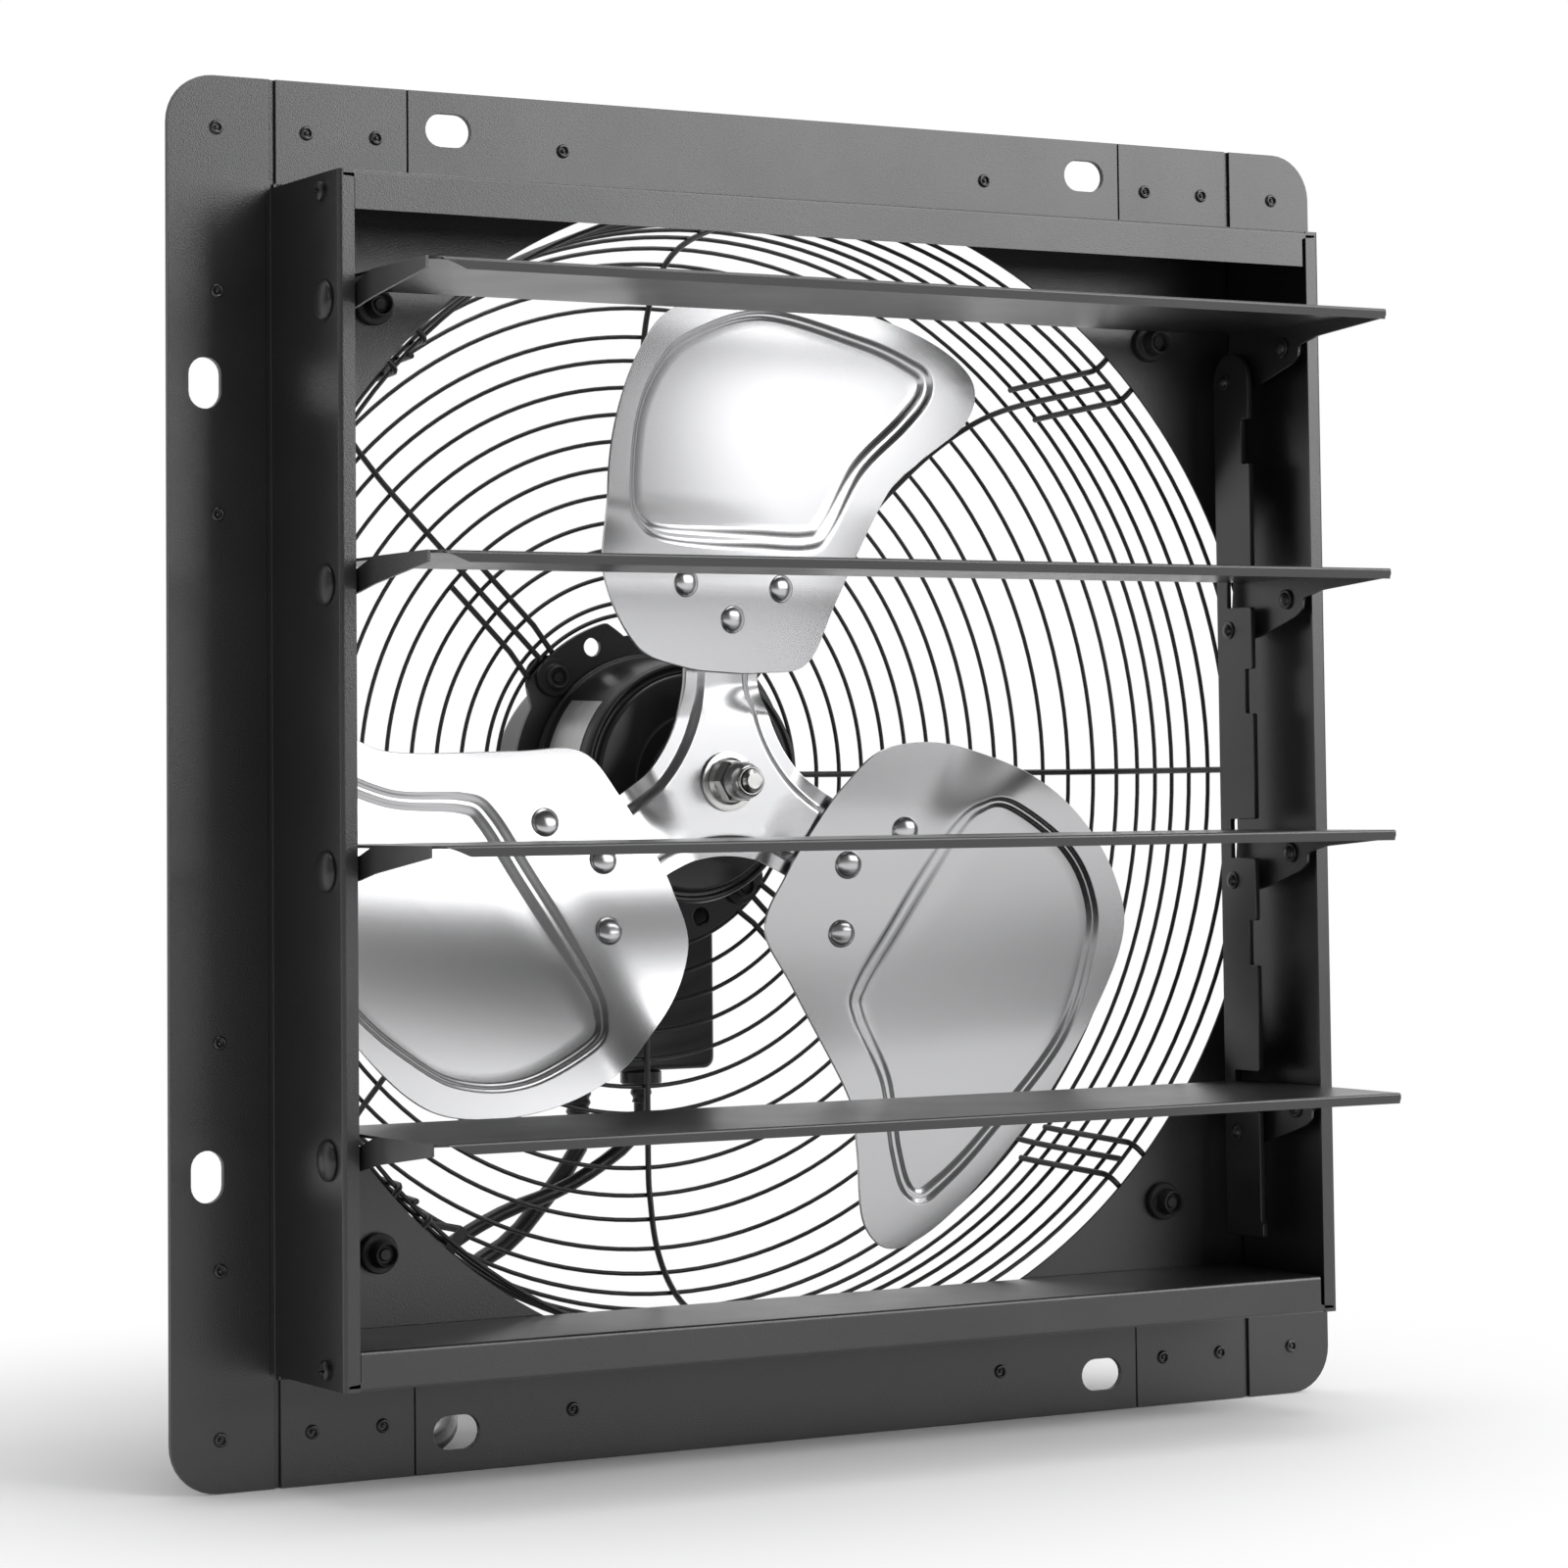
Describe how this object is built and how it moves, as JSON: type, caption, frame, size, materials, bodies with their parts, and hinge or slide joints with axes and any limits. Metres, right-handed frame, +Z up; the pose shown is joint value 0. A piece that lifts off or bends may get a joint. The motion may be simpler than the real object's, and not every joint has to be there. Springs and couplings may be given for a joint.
{
  "type": "shutter exhaust fan",
  "caption": "Square wall-mounted shutter exhaust fan: linked gravity louvers in front, bladed rotor on a motor carried by a wire guard behind, with a coiled mains cord and control lead.",
  "frame": {"origin": "middle of the flange's front face, the face that meets the wall", "axes": "+X to the right seen from the shutter side, +Y through the wall from the shutters to the guard, +Z up"},
  "size_m": [0.57, 0.3088, 0.57],
  "materials": {
    "black_powder_coat": "satin black powder coat",
    "black_guard_wire": "black coated wire",
    "black_motor_paint": "satin black motor paint",
    "brushed_aluminium": "bright, finely brushed",
    "zinc_plated_steel": "zinc plated",
    "blackened_steel": "blackened",
    "black_rubber": "glossy black",
    "black_plastic": "satin black",
    "steel_lamination": "stacked laminations, bare"
  },
  "bodies": {
    "housing": {"back_panel": "black_powder_coat", "side_panel_left": "black_powder_coat", "side_panel_right": "black_powder_coat", "top_rail": "black_powder_coat", "bottom_rail": "black_powder_coat", "corner_plate_upper_left": "black_powder_coat", "corner_plate_upper_right": "black_powder_coat", "corner_plate_lower_left": "black_powder_coat", "corner_plate_lower_right": "black_powder_coat", "corner_screw_upper_left": "blackened_steel", "corner_screw_upper_right": "blackened_steel", "corner_screw_lower_left": "blackened_steel", "corner_screw_lower_right": "blackened_steel", "guard_bolt_upper_left": "black_rubber", "guard_bolt_upper_right": "black_rubber", "guard_bolt_lower_left": "black_rubber", "guard_bolt_lower_right": "black_rubber", "pivot_pin_left_1": "black_plastic", "pivot_pin_left_2": "black_plastic", "pivot_pin_left_3": "black_plastic", "pivot_pin_left_4": "black_plastic", "pivot_pin_right_1": "black_plastic", "pivot_pin_right_2": "black_plastic", "pivot_pin_right_3": "black_plastic", "pivot_pin_right_4": "black_plastic", "wire_guard": "black_guard_wire", "motor_mount_ring": "black_motor_paint", "motor_front_shell": "black_motor_paint", "motor_rear_shell": "black_motor_paint", "motor_stator": "steel_lamination", "front_bearing": "zinc_plated_steel", "rear_bearing": "zinc_plated_steel", "motor_bolt_1": "blackened_steel", "motor_bolt_2": "blackened_steel", "motor_bolt_3": "blackened_steel", "motor_bolt_4": "blackened_steel", "capacitor_box": "black_plastic", "capacitor_box_lid": "black_plastic", "capacitor": "black_plastic", "power_gland": "black_plastic", "control_gland": "black_plastic", "power_cord": "black_rubber", "power_cord_coil": "black_rubber", "power_plug": "black_rubber", "control_lead": "black_rubber", "control_lead_coil": "black_rubber", "control_connector": "black_plastic", "cord_tie": "black_plastic"},
    "louver_1": {"louver_1": "black_powder_coat"},
    "louver_2": {"louver_2": "black_powder_coat"},
    "louver_3": {"louver_3": "black_powder_coat"},
    "louver_4": {"louver_4": "black_powder_coat"},
    "linkage": {"link_bar": "black_powder_coat"},
    "rotor": {"motor_shaft": "zinc_plated_steel", "fan_spider": "brushed_aluminium", "fan_blade_1": "brushed_aluminium", "fan_blade_2": "brushed_aluminium", "fan_blade_3": "brushed_aluminium", "fan_washer": "zinc_plated_steel", "fan_nut": "zinc_plated_steel"}
  },
  "joints": [
    {"name": "louver_1_pivot", "type": "hinge", "parent": "housing", "child": "louver_1", "pos_m": [0, -0.053, 0.1888], "axis": [1, 0, 0], "range_deg": [0, 80]},
    {"name": "louver_2_pivot", "type": "hinge", "parent": "housing", "child": "louver_2", "pos_m": [0, -0.053, 0.0756], "axis": [1, 0, 0], "range_deg": [0, 80]},
    {"name": "louver_3_pivot", "type": "hinge", "parent": "housing", "child": "louver_3", "pos_m": [0, -0.053, -0.0376], "axis": [1, 0, 0], "range_deg": [0, 80]},
    {"name": "louver_4_pivot", "type": "hinge", "parent": "housing", "child": "louver_4", "pos_m": [0, -0.053, -0.1508], "axis": [1, 0, 0], "range_deg": [0, 80]},
    {"name": "linkage_pin", "type": "hinge", "parent": "louver_1", "child": "linkage", "pos_m": [0, -0.0162, 0.1762], "axis": [1, 0, 0], "range_deg": [-80, 0]},
    {"name": "rotor_spin", "type": "hinge", "parent": "housing", "child": "rotor", "pos_m": [0, 0.1, -0.0031], "axis": [0, 1, 0], "continuous": true}
  ],
  "couplings": [
    {"joint": "louver_2_pivot", "follows": "louver_1_pivot", "ratio": 1},
    {"joint": "louver_3_pivot", "follows": "louver_1_pivot", "ratio": 1},
    {"joint": "louver_4_pivot", "follows": "louver_1_pivot", "ratio": 1},
    {"joint": "linkage_pin", "follows": "louver_1_pivot", "ratio": -1}
  ]
}
